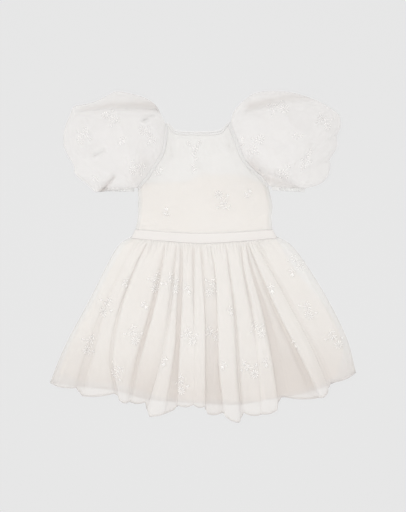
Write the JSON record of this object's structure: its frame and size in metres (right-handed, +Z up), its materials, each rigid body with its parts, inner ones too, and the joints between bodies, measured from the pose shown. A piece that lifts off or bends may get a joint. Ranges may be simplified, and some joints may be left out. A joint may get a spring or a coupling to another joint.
{
  "type": "puff sleeve dress",
  "caption": "Girls' ivory dress laid flat: short puff sleeves, scoop neck, fitted bodice, narrow waistband and a full gathered skirt of sheer cloth over a lining.",
  "frame": {"origin": "middle of the dress's box, on the surface it lies on", "axes": "+Y from the hem to the neck, +X to the viewer's right with the front up, +Z up from the surface, out of the front"},
  "size_m": [0.676, 0.7298, 0.0536],
  "materials": {
    "sheer_cloth": "sheer matt organza with embroidered sprigs",
    "lining_cloth": "plain warm ivory lining",
    "band_cloth": "sheer cloth sewn double",
    "embroidery_thread": "satin stitch thread"
  },
  "bodies": {
    "root": {"bodice_front": "sheer_cloth", "bodice_back": "sheer_cloth", "bodice_lining_front": "lining_cloth", "bodice_lining_back": "lining_cloth", "neck_binding_front": "band_cloth", "neck_binding_back": "band_cloth", "waistband_front": "band_cloth", "waistband_back": "band_cloth", "skirt_front": "sheer_cloth", "skirt_back": "sheer_cloth", "skirt_lining_front": "lining_cloth", "skirt_lining_back": "lining_cloth", "sleeve_left": "sheer_cloth", "sleeve_right": "sheer_cloth", "cuff_left": "band_cloth", "cuff_right": "band_cloth"}
  },
  "joints": []
}
